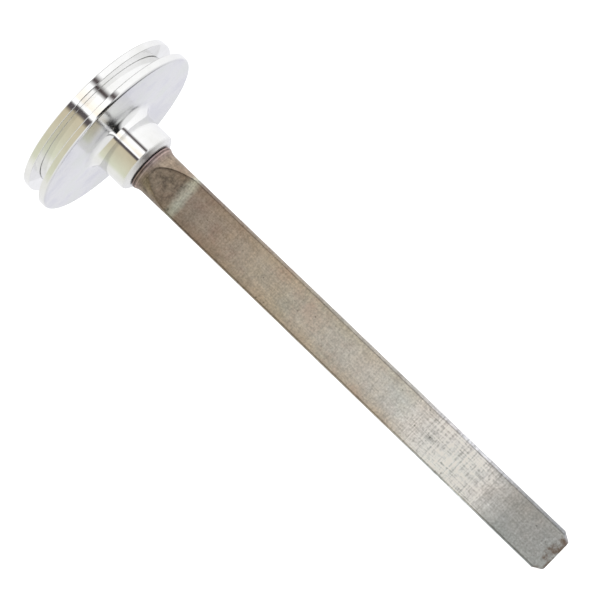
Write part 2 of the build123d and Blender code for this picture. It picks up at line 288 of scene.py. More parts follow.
# Pale floor below the tip
floorSpec = dict(radius=4000, drop=60, segments=96, grainSize=25, glow=0.5,
                 tone=[(0.0, "#f1f1ef"), (1.0, "#f7f7f6")])
floorZ = cadBox[0][2] / mm - floorSpec["drop"]
floorProfile = np.array([[floorSpec["radius"], floorZ - 1], [floorSpec["radius"], floorZ]])
studioFloor = lathe("studioFloor", floorProfile, floorSpec["segments"], wrapRows=False)
paper, tree, shader = newMaterial("white paper sweep, matte", Roughness=0.9)
paperPlace = addNode(tree, "TexCoord").outputs["Object"]
paperGrain = addNode(tree, "TexNoise", feeds={
    "Vector": paperPlace, "Scale": 1 / (floorSpec["grainSize"] * mm)})
paperShade = addNode(tree, "ValToRGB", {"stops": floorSpec["tone"]}, {"Fac": paperGrain.outputs[0]})
tree.links.new(paperShade.outputs[0], shader.inputs["Base Color"])
shader.inputs["Emission Color"].default_value = hexColour("#ffffff")
shader.inputs["Emission Strength"].default_value = floorSpec["glow"]
studioFloor.data.materials.append(paper)
# the metal mirrors the room and not the floor
studioFloor.visible_glossy = False
bpy.context.scene.view_settings.view_transform = "Standard"
print("stage: camera, studio and floor")


# Plated brass, turned on a lathe and polished: near mirror on the hub and in the groove, a little softer
# on the faced back, and satin on the hub's end.
plateSpec = dict(
    anisotropic=0.6, quarterTurn=0.25,   # the brushing runs across the tangent
    ringPitch=0.35, ringBump=0.1, ringDepth=0.02,
    smudgeSize=9.0, smudgeFrom=0.35, smudgeTo=0.7, roughLow=0.055, roughHigh=0.1,
    backFrom=(5.75, 6.55), backTo=(7.05, 6.75), backRough=0.13,   # heights where the back fades in and out
    endZ=-3.5, endFade=0.3, endRough=0.34,
    tone=[(0.3, "#e4e4e2"), (0.6, "#f0f0f0")],
    blotchSize=7.0, blotch=[(0.35, "#d2d2d8"), (0.5, "#dadadc"), (0.65, "#d8dad8")],
    pit="#6f6a62", pitSpacing=11.0, pitCore=0.015, pitRim=0.03, pitBump=0.4, pitDepth=0.05,
)


def nickelPlate(spec):
    material, tree, shader = newMaterial("nickel plate, turned and polished", Metallic=1.0,
                                         Anisotropic=spec["anisotropic"],
                                         Anisotropic_Rotation=spec["quarterTurn"])
    place = addNode(tree, "TexCoord").outputs["Object"]
    flat = addNode(tree, "VectorMath", {"operation": "MULTIPLY"}, {0: place, 1: (1, 1, 0)})
    radius = addNode(tree, "VectorMath", {"operation": "LENGTH"}, {0: flat.outputs[0]}).outputs["Value"]
    height = addNode(tree, "SeparateXYZ", feeds={"Vector": place}).outputs["Z"]
    # rings: noise that depends on the section only, so it is the same all the way round
    section = addNode(tree, "CombineXYZ", feeds={"X": radius, "Y": height})
    rings = addNode(tree, "TexNoise", {"noise_dimensions": "2D"},
                    {"Vector": section.outputs[0], "Scale": 1 / (spec["ringPitch"] * mm), "Detail": 3.0})
    smudge = addNode(tree, "TexNoise", feeds={
        "Vector": place, "Scale": 1 / (spec["smudgeSize"] * mm), "Detail": 4.0, "Roughness": 0.6})
    # the faced back and the hub's end are rougher than the rest
    backLow, backHigh = (addNode(tree, "MapRange", {}, {
        "Value": height, "From Min": spec[key][0] * mm, "From Max": spec[key][1] * mm})
        for key in ("backFrom", "backTo"))
    backMask = addNode(tree, "Math", {"operation": "MULTIPLY"},
                       {0: backLow.outputs[0], 1: backHigh.outputs[0]})
    rough = addNode(tree, "MapRange", {}, {
        "Value": smudge.outputs[0], "From Min": spec["smudgeFrom"], "From Max": spec["smudgeTo"],
        "To Min": spec["roughLow"], "To Max": spec["roughHigh"]})
    softBack = addNode(tree, "Math", {"operation": "MULTIPLY_ADD"},
                       {0: backMask.outputs[0], 1: spec["backRough"], 2: rough.outputs[0]})
    endMask = addNode(tree, "MapRange", {}, {
        "Value": height, "From Min": spec["endZ"] * mm, "From Max": (spec["endZ"] - spec["endFade"]) * mm})
    satinEnd = addNode(tree, "Math", {"operation": "MULTIPLY_ADD"},
                       {0: endMask.outputs[0], 1: spec["endRough"], 2: softBack.outputs[0]})
    tree.links.new(satinEnd.outputs[0], shader.inputs["Roughness"])
    tone = addNode(tree, "ValToRGB", {"stops": spec["tone"]}, {"Fac": smudge.outputs[0]})
    blotch = addNode(tree, "TexNoise", feeds={
        "Vector": place, "Scale": 1 / (spec["blotchSize"] * mm), "Detail": 2.0})
    blotchTone = addNode(tree, "ValToRGB", {"stops": spec["blotch"]}, {"Fac": blotch.outputs[0]})
    backTone = addNode(tree, "Mix", {"data_type": "RGBA"},
                       {"Factor": backMask.outputs[0], "A": tone.outputs[0], "B": blotchTone.outputs[0]})
    # small pits in the plating
    pits = addNode(tree, "TexVoronoi", {}, {"Vector": place, "Scale": 1 / (spec["pitSpacing"] * mm)})
    pitMask = addNode(tree, "MapRange", {}, {
        "Value": pits.outputs["Distance"], "From Min": spec["pitCore"], "From Max": spec["pitRim"],
        "To Min": 1.0, "To Max": 0.0})
    pitted = addNode(tree, "Mix", {"data_type": "RGBA"}, {
        "Factor": pitMask.outputs[0], "A": backTone.outputs["Result"], "B": hexColour(spec["pit"])})
    tree.links.new(pitted.outputs["Result"], shader.inputs["Base Color"])
    ringBump = addNode(tree, "Bump", feeds={
        "Height": rings.outputs[0], "Strength": spec["ringBump"], "Distance": spec["ringDepth"] * mm})
    dent = addNode(tree, "Bump", {"invert": True}, {
        "Height": pitMask.outputs[0], "Strength": spec["pitBump"], "Distance": spec["pitDepth"] * mm,
        "Normal": ringBump.outputs[0]})
    tree.links.new(dent.outputs[0], shader.inputs["Normal"])
    # the tangent runs round the axis, and the quarter turn lays it across the rings
    roundAxis = addNode(tree, "VectorMath", {"operation": "CROSS_PRODUCT"}, {0: (0, 0, 1), 1: place})
    tree.links.new(roundAxis.outputs[0], shader.inputs["Tangent"])
    return material


plate = nickelPlate(plateSpec)

# What the bar's surface has come to, roughly from dirtiest to cleanest. The last, rubbed, is partly a painted
# highlight: a lamp's reflection painted over a cleaner stretch.
finishes = dict(purpled="#988890", olive="#8c8278", browned="#9a8e86", stained="#beb6ac", greyed="#b2b6ba",
                handled="#d2d2d2", bare="#c0c6c0", rubbed="#fcfcff")

# Drawn steel bar, rubbed with abrasive both ways and stained by years in solutions: bands of olive,
# brown and bare silver along it, clouds of stain, pits, and a cross-hatch of scratches. The scratches are
# drawn coarser than real ones, so that they show.
# Painted into its colour as well: a highlight low on the bar, shade across it and beside its long edges,
# darker round sides, and a highlight on the +X side of the arches.
steelSpec = dict(
    stemRadius=6.08, wander=4.0, wanderSize=11.0,
    cloudSize=6.0, cloudMix=0.4, cloudMixBare=0.12,
    cloud=[(0.32, "#c0aea8"), (0.5, "#c4c4c0"), (0.7, "#d8d0c0")],
    mottleSize=1.6, mottle=0.4, grainSize=0.5, grain=0.95,
    scratchWidth=0.32, scratchLength=7.0, scratch=0.5, brightScratch=1.8, hatchBump=0.5, hatchDepth=0.04,
    bareFrom=-92, bareFadeIn=12, bareTo=-128, bareFadeOut=10,
    roughFrom=0.3, roughTo=0.7, roughLow=0.34, roughHigh=0.48,
    pitSpacing=2.4, pitCore=0.06, pitRim=0.13, pitSkip=0.62, pit=0.5, pitBump=0.5, pitDepth=0.05,
    rampEnd=-16.5, rampFade=0.5, neckMottle=1.8, neckFrom=-8.2, neckTo=-6.4, ringPitch=0.5, ringGain=4.0,
    # inside and outside the long edge, and how bright the surface stays from one to the other: a painted
    # shade line beside the edge
    edgeInside=0.5, edgeOutside=0.1,
    edgeShadeLine=[(0.0, 1.0), (0.3, 0.9), (0.45, 0.52), (0.68, 0.5), (0.78, 1.0), (0.88, 1.0), (0.95, 0.86)],
    # how the painted shade line fades round the arch, then the painted shade on the round sides and the
    # painted highlight outside the arch
    lineFade=1.5, lineLeft=0.25, sideFrom=0.12, sideTo=0.02, sideShade=0.3, archHighlight=0.35, archReach=3.0,
    driftSize=13.0, drift=[(0.3, "#fffaf6"), (0.5, "#ffffff"), (0.7, "#f6fafa")],
    rust="#6e5848", rustSize=2.4, rustFrom=-140, rustTo=-146, rustSpread=0.34, rustEdge=(0.66, 0.84),
    rustCover=0.8,
    # the height where each finish is reached, from under the collar to the tip
    stops=[
        (-4, finishes["purpled"]), (-8, finishes["olive"]), (-15, finishes["olive"]), (-17, finishes["bare"]),
        (-19, finishes["browned"]), (-50, finishes["stained"]), (-88, finishes["handled"]),
        # from -108 to -116 the rubbed shade is partly a painted highlight, a lamp's reflection over a cleaner
        # stretch
        (-108, finishes["rubbed"]), (-116, finishes["rubbed"]), (-130, finishes["greyed"]),
        (-146, finishes["greyed"]),
    ],
    # painted shade across the bar, from one edge to the other, away from the bare end: darker and warmer
    # towards the -X edge, a little warmer towards the +X edge
    acrossHalf=6, across=[(-6, "#f0e6da"), (-2, "#ffffff"), (2, "#ffffff"), (6, "#fff8ee")],
)


def barStains(tree, spec, place, parts, bare):
    # The finish at each height, with borders that wander, painted shade across the bar, and clouds of brown,
    # grey and straw over it. One finish, rubbed, is partly a painted highlight. Gives the colour and the
    # clouds.
    wander = addNode(tree, "TexNoise", feeds={
        "Vector": place, "Scale": 1 / (spec["wanderSize"] * mm), "Detail": 3.0})
    shifted = addNode(tree, "Math", {"operation": "MULTIPLY_ADD"},
                      {0: wander.outputs[0], 1: spec["wander"] * mm, 2: parts.outputs["Z"]})
    top, bottom, shift = spec["stops"][0][0], spec["stops"][-1][0], spec["wander"] / 2
    along = addNode(tree, "MapRange", {}, {
        "Value": shifted.outputs[0], "From Min": (top + shift) * mm, "From Max": (bottom + shift) * mm})
    bandStops = [((z - top) / (bottom - top), shade) for z, shade in spec["stops"]]
    band = addNode(tree, "ValToRGB", {"stops": bandStops}, {"Fac": along.outputs[0]})
    half = spec["acrossHalf"]
    acrossStops = [((x + half) / (2 * half), shade) for x, shade in spec["across"]]
    acrossShare = addNode(tree, "MapRange", {}, {
        "Value": parts.outputs["X"], "From Min": -half * mm, "From Max": half * mm})
    acrossShade = addNode(tree, "ValToRGB", {"stops": acrossStops}, {"Fac": acrossShare.outputs[0]})
    acrossMix = addNode(tree, "Mix", {"data_type": "RGBA"},
                        {"Factor": bare, "A": acrossShade.outputs[0], "B": (1, 1, 1, 1)})
    tinted = addNode(tree, "Mix", {"data_type": "RGBA", "blend_type": "MULTIPLY"},
                     {"Factor": 1.0, "A": band.outputs[0], "B": acrossMix.outputs["Result"]})
    cloud = addNode(tree, "TexNoise", feeds={
        "Vector": place, "Scale": 1 / (spec["cloudSize"] * mm), "Detail": 6.0, "Roughness": 0.65})
    cloudTone = addNode(tree, "ValToRGB", {"stops": spec["cloud"]}, {"Fac": cloud.outputs[0]})
    cloudShare = addNode(tree, "MapRange", {}, {
        "Value": bare, "To Min": spec["cloudMix"], "To Max": spec["cloudMixBare"]})
    stained = addNode(tree, "Mix", {"data_type": "RGBA", "blend_type": "OVERLAY"}, {
        "Factor": cloudShare.outputs[0], "A": tinted.outputs["Result"], "B": cloudTone.outputs[0]})
    return stained.outputs["Result"], cloud.outputs[0]


def barHatch(tree, spec, place):
    # scratches both ways: noise stretched along the bar plus noise stretched across it
    fine, long = 1 / spec["scratchWidth"], 1 / spec["scratchLength"]
    ways = []
    for stretch in ((fine, fine, long), (long, long, fine)):
        stretched = addNode(tree, "Mapping", {}, {"Vector": place, "Scale": stretch})
        ways.append(addNode(tree, "TexNoise", feeds={
            "Vector": stretched.outputs[0], "Scale": 1 / mm, "Detail": 3.0, "Roughness": 0.7}))
    both = addNode(tree, "Math", {"operation": "ADD"}, {0: ways[0].outputs[0], 1: ways[1].outputs[0]})
    return both.outputs[0]


def barUnevenness(tree, spec, place, parts, bare, ramp, hatch, pitMask):
    # lighter above zero and darker below: scratches, mottle, grain, the neck's dirt and rings, and pits
    mottle = addNode(tree, "TexNoise", feeds={
        "Vector": place, "Scale": 1 / (spec["mottleSize"] * mm), "Detail": 4.0, "Roughness": 0.7})
    grain = addNode(tree, "TexNoise", feeds={
        "Vector": place, "Scale": 1 / (spec["grainSize"] * mm), "Detail": 2.0})
    turnedRings = addNode(tree, "TexNoise", {"noise_dimensions": "1D"}, {
        "W": parts.outputs["Z"], "Scale": 1 / (spec["ringPitch"] * mm), "Detail": 2.0})
    # scratches are strongest on the bare stretch
    bareEnd = addNode(tree, "MapRange", {"interpolation_type": "SMOOTHSTEP"}, {
        "Value": parts.outputs["Z"], "From Min": spec["bareTo"] * mm,
        "From Max": (spec["bareTo"] + spec["bareFadeOut"]) * mm})
    barePart = addNode(tree, "Math", {"operation": "MULTIPLY"}, {0: bare, 1: bareEnd.outputs[0]})
    hatchGain = addNode(tree, "MapRange", {}, {
        "Value": barePart.outputs[0], "To Min": spec["scratch"], "To Max": spec["brightScratch"]})
    hatchCentred = addNode(tree, "Math", {"operation": "SUBTRACT"}, {0: hatch, 1: 1.0})
    hatchPart = addNode(tree, "Math", {"operation": "MULTIPLY"},
                        {0: hatchCentred.outputs[0], 1: hatchGain.outputs[0]})
    # each noise, centred on zero and given its own strength
    swing = {}
    noises = dict(mottle=mottle, grain=grain, neckMottle=mottle, ringGain=turnedRings)
    for key, noise in noises.items():
        swing[key] = addNode(tree, "MapRange", {"clamp": False}, {
            "Value": noise.outputs[0], "To Min": -spec[key] / 2, "To Max": spec[key] / 2}).outputs[0]
    mottled = addNode(tree, "Math", {"operation": "ADD"}, {0: hatchPart.outputs[0], 1: swing["mottle"]})
    grained = addNode(tree, "Math", {"operation": "ADD"}, {0: mottled.outputs[0], 1: swing["grain"]})
    # the ramp above the crease is dirtier, and the collar shows the rings it was turned with
    blotted = addNode(tree, "Math", {"operation": "MULTIPLY_ADD"},
                      {0: ramp, 1: swing["neckMottle"], 2: grained.outputs[0]})
    neck = addNode(tree, "MapRange", {"interpolation_type": "SMOOTHSTEP"}, {
        "Value": parts.outputs["Z"], "From Min": spec["neckFrom"] * mm, "From Max": spec["neckTo"] * mm})
    ringed = addNode(tree, "Math", {"operation": "MULTIPLY_ADD"},
                     {0: neck.outputs[0], 1: swing["ringGain"], 2: blotted.outputs[0]})
    return addNode(tree, "Math", {"operation": "MULTIPLY_ADD"},
                   {0: pitMask, 1: -spec["pit"], 2: ringed.outputs[0]}).outputs[0]


def barEdges(tree, spec, place, parts, ramp):
    # painted shade in a thin line beside each long edge, and painted light on the round sides against the
    # flats
    flat = addNode(tree, "VectorMath", {"operation": "MULTIPLY"}, {0: place, 1: (1, 1, 0)})
    radius = addNode(tree, "VectorMath", {"operation": "LENGTH"}, {0: flat.outputs[0]}).outputs["Value"]
    edgeShare = addNode(tree, "MapRange", {}, {
        "Value": radius, "From Min": (spec["stemRadius"] - spec["edgeInside"]) * mm,
        "From Max": (spec["stemRadius"] + spec["edgeOutside"]) * mm})
    edgeShadeLine = addNode(tree, "ValToRGB", {"stops": spec["edgeShadeLine"]}, {"Fac": edgeShare.outputs[0]})
    # round the arch where a flat begins, the painted shade line shows on the +X side, toward the light, and
    # fades on the other
    straight = addNode(tree, "Math", {"operation": "SUBTRACT"}, {0: 1.0, 1: ramp})
    lineSide = addNode(tree, "MapRange", {"interpolation_type": "SMOOTHSTEP"}, {
        "Value": parts.outputs["X"], "From Min": -spec["lineFade"] * mm, "From Max": spec["lineFade"] * mm,
        "To Min": spec["lineLeft"]})
    lineShare = addNode(tree, "Math", {"operation": "MAXIMUM"},
                        {0: straight.outputs[0], 1: lineSide.outputs[0]})
    line = addNode(tree, "Mix", {}, {"Factor": lineShare.outputs[0], "A": 1.0, "B": edgeShadeLine.outputs[0]})
    # painted shade: the round sides are darker than the flats; painted highlight: lighter outside the arch on
    # the +X side, toward the light
    roundSide = addNode(tree, "MapRange", {"interpolation_type": "SMOOTHSTEP"}, {
        "Value": radius, "From Min": (spec["stemRadius"] - spec["sideFrom"]) * mm,
        "From Max": (spec["stemRadius"] - spec["sideTo"]) * mm})
    archSide = addNode(tree, "MapRange", {}, {
        "Value": parts.outputs["X"], "From Min": 0.0, "From Max": spec["archReach"] * mm,
        "To Max": spec["archHighlight"]})
    sideGain = addNode(tree, "Mix", {}, {"Factor": ramp, "A": -spec["sideShade"], "B": archSide.outputs[0]})
    side = addNode(tree, "Math", {"operation": "MULTIPLY_ADD"},
                   {0: roundSide.outputs[0], 1: sideGain.outputs[0], 2: 1.0})
    return line.outputs[0], side.outputs[0]


def barRust(tree, spec, place, parts, colour):
    # rust in blots at the tip, thickest on its end
    tipShare = addNode(tree, "MapRange", {}, {
        "Value": parts.outputs["Z"], "From Min": spec["rustFrom"] * mm, "From Max": spec["rustTo"] * mm,
        "To Max": spec["rustSpread"]})
    rustNoise = addNode(tree, "TexNoise", feeds={
        "Vector": place, "Scale": 1 / (spec["rustSize"] * mm), "Detail": 4.0, "Roughness": 0.65})
    rustSum = addNode(tree, "Math", {"operation": "ADD"}, {0: rustNoise.outputs[0], 1: tipShare.outputs[0]})
    rustMask = addNode(tree, "MapRange", {}, {
        "Value": rustSum.outputs[0], "From Min": spec["rustEdge"][0], "From Max": spec["rustEdge"][1],
        "To Max": spec["rustCover"]})
    return addNode(tree, "Mix", {"data_type": "RGBA"}, {
        "Factor": rustMask.outputs[0], "A": colour, "B": hexColour(spec["rust"])}).outputs["Result"]


def drawnSteel(spec):
    material, tree, shader = newMaterial("drawn steel, rubbed both ways and stained", Metallic=1.0)
    place = addNode(tree, "TexCoord").outputs["Object"]
    parts = addNode(tree, "SeparateXYZ", feeds={"Vector": place})
    bare = addNode(tree, "MapRange", {"interpolation_type": "SMOOTHSTEP"}, {
        "Value": parts.outputs["Z"], "From Min": spec["bareFrom"] * mm,
        "From Max": (spec["bareFrom"] - spec["bareFadeIn"]) * mm}).outputs[0]
    ramp = addNode(tree, "MapRange", {}, {
        "Value": parts.outputs["Z"], "From Min": (spec["rampEnd"] - spec["rampFade"]) * mm,
        "From Max": (spec["rampEnd"] + spec["rampFade"]) * mm}).outputs[0]
    # pits: a dark dot in some of the cells
    pits = addNode(tree, "TexVoronoi", {}, {"Vector": place, "Scale": 1 / (spec["pitSpacing"] * mm)})
    pitDot = addNode(tree, "MapRange", {}, {
        "Value": pits.outputs["Distance"], "From Min": spec["pitCore"], "From Max": spec["pitRim"],
        "To Min": 1.0, "To Max": 0.0})
    pitPick = addNode(tree, "Math", {"operation": "GREATER_THAN"},
                      {0: pits.outputs["Color"], 1: spec["pitSkip"]})
    pitMask = addNode(tree, "Math", {"operation": "MULTIPLY"}, {0: pitDot.outputs[0], 1: pitPick.outputs[0]})

    hatch = barHatch(tree, spec, place)
    stained, cloud = barStains(tree, spec, place, parts, bare)
    uneven = barUnevenness(tree, spec, place, parts, bare, ramp, hatch, pitMask.outputs[0])
    line, side = barEdges(tree, spec, place, parts, ramp)
    # the marks, then the painted shade and highlight of the round sides and the painted shade line by the
    # edges
    factor = addNode(tree, "Math", {"operation": "ADD"}, {0: uneven, 1: side})
    lined = addNode(tree, "Math", {"operation": "MULTIPLY"}, {0: factor.outputs[0], 1: line})
    marked = addNode(tree, "Mix", {"data_type": "RGBA", "blend_type": "MULTIPLY", "clamp_result": False},
                     {"Factor": 1.0, "A": stained, "B": lined.outputs[0]})
    # slow drift from a warm cast to a cool one
    drift = addNode(tree, "TexNoise", feeds={
        "Vector": place, "Scale": 1 / (spec["driftSize"] * mm), "Detail": 2.0})
    driftTone = addNode(tree, "ValToRGB", {"stops": spec["drift"]}, {"Fac": drift.outputs[0]})
    drifted = addNode(tree, "Mix", {"data_type": "RGBA", "blend_type": "MULTIPLY"},
                      {"Factor": 1.0, "A": marked.outputs["Result"], "B": driftTone.outputs[0]})
    colour = barRust(tree, spec, place, parts, drifted.outputs["Result"])
    tree.links.new(colour, shader.inputs["Base Color"])
    rough = addNode(tree, "MapRange", {}, {
        "Value": cloud, "From Min": spec["roughFrom"], "From Max": spec["roughTo"],
        "To Min": spec["roughHigh"], "To Max": spec["roughLow"]})
    tree.links.new(rough.outputs[0], shader.inputs["Roughness"])
    hatchBump = addNode(tree, "Bump", feeds={
        "Height": hatch, "Strength": spec["hatchBump"], "Distance": spec["hatchDepth"] * mm})
    pitBump = addNode(tree, "Bump", {"invert": True}, {
        "Height": pitMask.outputs[0], "Strength": spec["pitBump"], "Distance": spec["pitDepth"] * mm,
        "Normal": hatchBump.outputs[0]})
    tree.links.new(pitBump.outputs[0], shader.inputs["Normal"])
    return material


steel = drawnSteel(steelSpec)


def mottledMaterial(name, cell, detail, tones, rough, stretch=None, span=(0.0, 1.0), **sockets):
    # A finish whose colour and roughness follow one noise of the given cell size, stretched where the
    # stock was turned, drawn or wiped. span is the part of the noise that the roughness follows.
    material, tree, shader = newMaterial(name, **sockets)
    place = addNode(tree, "TexCoord").outputs["Object"]
    if stretch:
        place = addNode(tree, "Mapping", {}, {"Vector": place, "Scale": stretch}).outputs[0]
    noise = addNode(tree, "TexNoise", feeds={"Vector": place, "Scale": 1 / (cell * mm), "Detail": detail})
    tone = addNode(tree, "ValToRGB", {"stops": tones}, {"Fac": noise.outputs[0]})
    roughness = addNode(tree, "MapRange", {}, {
        "Value": noise.outputs[0], "From Min": span[0], "From Max": span[1], "To Min": rough[0],
        "To Max": rough[1]})
    tree.links.new(tone.outputs[0], shader.inputs["Base Color"])
    tree.links.new(roughness.outputs[0], shader.inputs["Roughness"])
    return material


# Turned brass: yellow metal with fine rings
brass = mottledMaterial("brass, turned", 0.6, 3.0, [(0.3, "#b8954f"), (0.7, "#d6b670")], (0.2, 0.36),
                        stretch=(0.4, 0.4, 6), Metallic=1.0, Anisotropic=0.3)

# Bright drawn steel for the shaft, screws and washer: fine lines along the axis
brightSteel = mottledMaterial("steel, drawn bright", 0.5, 3.0, [(0.3, "#b4b5b8"), (0.7, "#d2d3d6")],
                              (0.18, 0.34), stretch=(5, 5, 0.3), Metallic=1.0)

# Rolled bimetal strip: straw and blue heat tints along the coil
bimetal = mottledMaterial("bimetal strip, rolled and heat tinted", 3, 3.0,
                          [(0.3, "#8c8a90"), (0.5, "#a89878"), (0.7, "#8490a0")], (0.25, 0.42), Metallic=1.0)

# Nitrile rubber, cut from sheet: near black with a dusty bloom
rubber = mottledMaterial("nitrile rubber, cut", 0.8, 5.0, [(0.35, "#16120f"), (0.75, "#2c2722")],
                         (0.5, 0.75), IOR=1.52)

# Screen-printed ink: matte, a little uneven. The pointer's sprayed lacquer is smoother.
blackInk = mottledMaterial("screen ink, black", 0.5, 4.0, [(0.3, "#15161a"), (0.7, "#26272b")], (0.4, 0.6))
redInk = mottledMaterial("screen ink, red", 0.5, 4.0, [(0.3, "#9c2a1e"), (0.7, "#b33b2a")], (0.4, 0.6))
pointerPaint = mottledMaterial("lacquer, black and sprayed", 0.5, 4.0, [(0.3, "#101114"), (0.7, "#1d1e22")],
                               (0.28, 0.42))

# Float glass, cut: clear, with faint wiping marks
glass = mottledMaterial("float glass, cut", 4, 4.0, [(0.3, "#fafdfc"), (0.7, "#ffffff")], (0.0, 0.06),
                        stretch=(1, 0.2, 1), span=(0.4, 0.8), IOR=1.52, Transmission_Weight=1.0)

# White enamel on aluminium, stoved: smooth, with a trace of orange peel, and slightly yellowed by age
enamelSpec = dict(peelSize=0.9, peelBump=0.08, peelDepth=0.02, roughLow=0.3, roughHigh=0.42, ageSize=12,
                  tone=[(0.3, "#f4f1e8"), (0.7, "#fbfaf5")], coat=0.25, coatRough=0.15)


def stovedEnamel(spec):
    material, tree, shader = newMaterial("enamel, white and stoved", Coat_Weight=spec["coat"],
                                         Coat_Roughness=spec["coatRough"])
    place = addNode(tree, "TexCoord").outputs["Object"]
    peel = addNode(tree, "TexNoise", feeds={
        "Vector": place, "Scale": 1 / (spec["peelSize"] * mm), "Detail": 2.0})
    age = addNode(tree, "TexNoise", feeds={
        "Vector": place, "Scale": 1 / (spec["ageSize"] * mm), "Detail": 4.0})
    tone = addNode(tree, "ValToRGB", {"stops": spec["tone"]}, {"Fac": age.outputs[0]})
    rough = addNode(tree, "MapRange", {}, {
        "Value": peel.outputs[0], "To Min": spec["roughLow"], "To Max": spec["roughHigh"]})
    bump = addNode(tree, "Bump", feeds={
        "Height": peel.outputs[0], "Strength": spec["peelBump"], "Distance": spec["peelDepth"] * mm})
    tree.links.new(tone.outputs[0], shader.inputs["Base Color"])
    tree.links.new(rough.outputs[0], shader.inputs["Roughness"])
    tree.links.new(bump.outputs[0], shader.inputs["Normal"])
    return material


enamel = stovedEnamel(enamelSpec)
print("stage: materials")


caseLow, caseHigh = boxMm("case_body")
bezelLow, bezelHigh = boxMm("bezel_ring")
crystalLow, crystalHigh = boxMm("crystal")

# Head: a spool turned in one piece. The hub's end is given by the corner that its chamfer is rounded from.
head = dict(hubRadius=8.9, hubEndInset=1.6, hubEndLength=1.0, hubEndRound=0.7, hubSideRound=1.0,
            coveRadius=3.05, bore=5.02, boreRound=0.12, seatZ=6.65, flangeThickness=2.1, flangeRound=0.9,
            grooveRadius=21.1, grooveMouthRound=0.25, grooveRootRound=0.3, lipRadius=23.85,
            lipThickness=0.5, lipRound=0.05, chamberRadius=20.1, chamberMouthRound=0.1,
            chamberRootRound=0.3, floorThickness=1.8, floorRound=0.1, segments=288)
grooveBackZ = head["seatZ"] + head["flangeThickness"]
lipFrontZ = caseHigh[2]
lipBackZ = lipFrontZ - head["lipThickness"]
floorLevel = head["seatZ"] + head["floorThickness"]
headProfile = roundCorners([
    (head["bore"], caseLow[2], head["boreRound"]),
    (head["hubRadius"] - head["hubEndInset"], caseLow[2], head["hubEndRound"]),
    (head["hubRadius"], caseLow[2] + head["hubEndLength"], head["hubSideRound"]),
    (head["hubRadius"], head["seatZ"], head["coveRadius"]),
    (caseHigh[0], head["seatZ"], head["flangeRound"]),
    (caseHigh[0], grooveBackZ, head["grooveMouthRound"]),
    (head["grooveRadius"], grooveBackZ, head["grooveRootRound"]),
    (head["grooveRadius"], lipBackZ, head["lipRound"]),
    (head["lipRadius"], lipBackZ, head["lipRound"]),
    (head["lipRadius"], lipFrontZ, head["lipRound"]),
    (head["chamberRadius"], lipFrontZ, head["chamberMouthRound"]),
    (head["chamberRadius"], floorLevel, head["chamberRootRound"]),
    (head["bore"], floorLevel, head["floorRound"]),
], steps=9)
finishPiece(lathe("headSpool", headProfile, head["segments"]), plate, "case", "turned_case", "case_body")

# Bezel: the front rim, its back edge rolled in behind the case's lip
bezel = dict(rollRadius=21.25, rollThickness=0.5, rollRound=0.16, backRound=0.25, edgeHeight=1.9,
             shoulderRound=0.3, openRadius=20.95, frontRise=0.1, frontRound=0.35, boreRadius=22.3,
             seatRound=0.05)
rollTop = bezelLow[2] + bezel["rollThickness"]
bezelProfile = roundCorners([
    (bezel["rollRadius"], bezelLow[2], bezel["rollRound"]),
    (bezelHigh[0], bezelLow[2], bezel["backRound"]),
    (bezelHigh[0], bezelLow[2] + bezel["edgeHeight"], bezel["shoulderRound"]),
    (bezel["openRadius"], bezelHigh[2] + bezel["frontRise"], bezel["frontRound"]),
    (bezel["openRadius"], crystalHigh[2], bezel["seatRound"]),
    (bezel["boreRadius"], crystalHigh[2], bezel["seatRound"]),
    (bezel["boreRadius"], lipFrontZ, bezel["seatRound"]),
    (head["lipRadius"], lipFrontZ, bezel["seatRound"]),
    (head["lipRadius"], rollTop, bezel["seatRound"]),
    (bezel["rollRadius"], rollTop, bezel["seatRound"]),
], steps=8)
finishPiece(lathe("bezelRim", bezelProfile, head["segments"]), plate, "case", "turned_case", "bezel_ring")

# Crystal: a disc. Its profile leaves off the wall at middleRadius, which the fans close instead.
pane = dict(middleRadius=0.6, middleRound=0.02, edgeRound=0.12, segments=192)
crystalProfile = roundCorners([
    (pane["middleRadius"], crystalLow[2], pane["middleRound"]),
    (crystalHigh[0], crystalLow[2], pane["edgeRound"]),
    (crystalHigh[0], crystalHigh[2], pane["edgeRound"]),
    (pane["middleRadius"], crystalHigh[2], pane["middleRound"]),
], steps=5)[2:-2]
finishPiece(lathe("crystalDisc", crystalProfile, pane["segments"], wrapRows=False), glass, "case", "glass",
            "crystal")
print("stage: head")


stemLow, stemHigh = boxMm("stem_tube")
plugLow, plugHigh = boxMm("stem_tip_plug")
sealLow, sealHigh = boxMm("neck_seal")

# Stem: a round bar with a threaded top, a collar and two flats
stem = dict(radius=6.08, bore=1.55, boreLead=0.2, shankRadius=5.0, shankFoot=(0.05, 0.02), threadRadius=4.0,
            threadChamfer=0.1, collarLength=0.7, collarEdge=0.15, collarDrop=0.9, collarTuck=0.2,
            collarSupport=0.1, collarRows=4, arcRows=6, filletLength=2.3, filletRows=14, creaseZ=-16.5,
            creaseSoft=0.12, creaseHalf=0.2, creaseGap=0.3, creaseRows=7, rampBite=0.06, rampStep=0.25,
            edge=0.16, edgeSpread=2.6, steepest=82, sideColumns=9, edgeColumns=7, flatColumns=26,
            rowStep=0.6, endSupport=0.02, ripple=0.02, rippleSeed=4, waveLengths=(9, 50), waves=5)
collarTopZ, collarRadius = sealLow[2], stemHigh[0]
collarEndZ = collarTopZ - stem["collarLength"]
filletEndZ = collarEndZ - stem["filletLength"]
plugZ, tipZ, halfFlat = stemLow[2], plugLow[2], plugHigh[1]


def outerRadius(z):
    # round radius before the flats are cut: bar, concave fillet up to the collar
    step = collarRadius - stem["radius"]
    arc = (step ** 2 + stem["filletLength"] ** 2) / (2 * step)
    climb = np.clip(z - filletEndZ, 0, stem["filletLength"])
    return stem["radius"] + arc - np.sqrt(arc ** 2 - climb ** 2)


